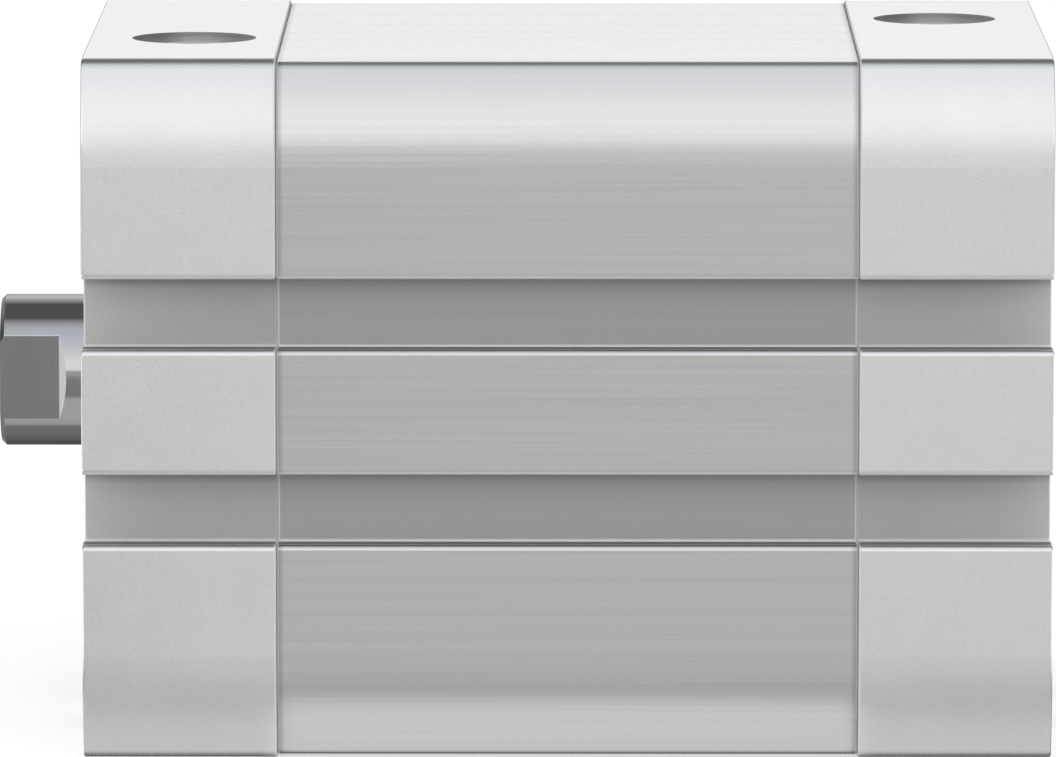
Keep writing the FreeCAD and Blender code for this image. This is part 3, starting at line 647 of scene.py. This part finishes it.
nut_plating, place = new_finish("zinc_plated_nut")
patches = grains(place, 0.8 * MM, detail=4.0)
surface(place, {
    "Base Color": patches.mix((0.50, 0.51, 0.54), (0.68, 0.69, 0.71)),
    "Metallic": 1.0,
    "Roughness": 0.28 + 0.2 * patches,
    "Normal": relief(patches, 0.004 * MM),
})
lay_on(nut_plating, "piston_nut")


# Studio: a pale floor, soft light from a bright front panel and a white wall behind, and a glowing
# sheet on the floor that shows only in the metal, as painted reflections, mostly darker.

def flat_sheet(name, size, height):
    bpy.ops.object.select_all(action="DESELECT")
    bpy.ops.mesh.primitive_plane_add(size=size, location=(0, 0, height))
    sheet = bpy.context.object
    sheet.name = name
    return sheet


FLOOR_SIZE = 40.0
floor = flat_sheet("floor", FLOOR_SIZE, cad_low.z)
paper, place = new_finish("white_paper")
ray = place.add("LightPath", output="Is Camera Ray")
seen = ray + ray.out("Is Glossy Ray") + ray.out("Is Transmission Ray")
matt = place.add("BsdfDiffuse", {}, {"Color": (0.9, 0.9, 0.9, 1)})
paleness = (0.56 * seen).mix((0, 0, 0), (1, 1, 1))
glow = place.add("Emission", {}, {"Color": paleness, "Strength": 1.0})
place.add("OutputMaterial", {}, {"Surface": place.add("AddShader", {}, {0: matt, 1: glow})})
floor.data.materials.append(paper)

CARD_SIZE = 39.0
CARD_LIFT = 0.01 * MM
CARD_FRONT = -60
CARD_DEPTH = 80
RAY_SLANT = 0.0425
# Painted reflections: the sheet glows and is seen only in reflections; its greys are laid out in
# bands before the caps, the barrel and the rod, and it is pale far to the sides.
card_sheet = flat_sheet("painted_reflection_card", CARD_SIZE, cad_low.z + CARD_LIFT)
card_sheet.visible_camera = False
card_sheet.visible_diffuse = False
card_sheet.visible_shadow = False
card, place = new_finish("painted_reflection_card")
along = place.split()
behind = along.out("Y")
depth = (behind / MM - CARD_FRONT) / CARD_DEPTH
depth_both_sides = (-CARD_FRONT - abs(behind) / MM) / CARD_DEPTH


def card_band(depth, *greys):
    """The card's grey over its depth, from stops that give a place along Y in mm and a grey."""
    stops = [((y - CARD_FRONT) / CARD_DEPTH, (grey, grey, grey)) for y, grey in greys]
    return depth.add("ValToRGB", {"stops": stops}, {"Fac": depth})


before_caps = card_band(
    depth_both_sides, (-60, 0.57), (-45, 0.57), (-41, 0.48), (-33, 0.48), (-30, 0.58),
    (-26, 0.62), (-25.6, 0.60), (-25.1, 0.15), (20, 0.15))
before_barrel = card_band(
    depth_both_sides, (-60, 0.57), (-45, 0.56), (-41, 0.47), (-36.5, 0.47), (-34, 0.68),
    (-31, 0.80), (-26, 0.76), (-25.2, 0.72), (-24.8, 0.15), (20, 0.15))
before_rod = card_band(
    depth, (-60, 0.305), (-43, 0.305), (-37, 0.58), (-12, 0.60), (-7, 0.55), (-4, 0.26),
    (3, 0.26), (20, 0.18))
from_middle = abs(along - HALF_LENGTH)
before_body = from_middle.ease(21 * MM, 24 * MM).mix(before_barrel, before_caps)
from_body = along + RAY_SLANT * abs(behind)
beside_body = from_body.ease(0.4 * MM, 0.9 * MM) + 1 - from_body.ease(-18 * MM, -15 * MM)
level_with_body = behind.ease(-120 * MM, -80 * MM) * behind.ease(140 * MM, 60 * MM)
far_aside = from_middle.ease(60 * MM, 72 * MM) * level_with_body
distant = behind.ease(-500 * MM, -900 * MM)
paler_far_off = distant.mix(before_body, (0.78, 0.78, 0.78))
darker_behind = behind.ease(400 * MM, 430 * MM).mix(paler_far_off, (0.15, 0.15, 0.15))
shown = far_aside.mix(beside_body.mix(before_rod, darker_behind), (1.15, 1.15, 1.15))
glow = place.add("Emission", {}, {"Color": shown, "Strength": 1.0})
place.add("OutputMaterial", {}, {"Surface": glow})
card_sheet.data.materials.append(card)

world = bpy.data.worlds.new("studio_light")
world.use_nodes = True
world.node_tree.nodes.clear()
direction = Shade(world.node_tree).add("TexCoord", output="Generated")
across = direction.split()
rise = across.sum("ARCTAN2", across.out("Z"), 0 - across.out("Y")) / math.pi


def at(degrees, red, green, blue):
    """A stop of the light's band from the front horizon (0) over the top to the back (180)."""
    return degrees / 180, (red, green, blue)


panels = rise.add("ValToRGB", {"stops": [
    at(0, 0.38, 0.38, 0.37),
    at(4, 0.62, 0.62, 0.61),
    at(7, 1.20, 1.19, 1.17),
    at(20, 1.18, 1.17, 1.15),
    at(29, 1.05, 1.05, 1.06),
    at(40, 0.91, 0.93, 0.99),
    at(58, 0.77, 0.81, 0.91),
    at(72, 0.72, 0.74, 0.79),
    at(80, 0.56, 0.57, 0.60),
    at(87, 0.335, 0.34, 0.355),
    at(92, 0.135, 0.135, 0.135),
    at(126, 0.135, 0.135, 0.135),
    at(140, 0.60, 0.60, 0.60),
    at(152, 1.08, 1.08, 1.08),
    at(176, 1.08, 1.08, 1.08),
    at(178, 0.15, 0.15, 0.15),
    at(180, 0.10, 0.10, 0.10),
]}, {"Fac": rise})
light = direction.add("Background", {}, {"Color": panels, "Strength": 1.0})
direction.add("OutputWorld", {}, {"Surface": light})
bpy.context.scene.world = world
bpy.context.scene.view_settings.view_transform = "Standard"


# Camera: far off with a long lens, so that the long side shows with little perspective. It stands
# a little above the cylinder and square to that side.

lens = bpy.data.cameras.new("photo_lens")
lens.sensor_width = 36
lens.lens = 382.5
camera = bpy.data.objects.new("camera", lens)
bpy.context.scene.collection.objects.link(camera)
camera.location = Vector((37.5, -885.2, 110.25)) * MM
aim = Vector((34.36, -0.09, -0.71)) * MM
camera.rotation_mode = "QUATERNION"
camera.rotation_quaternion = (aim - camera.location).to_track_quat("-Z", "Y")
bpy.context.scene.camera = camera
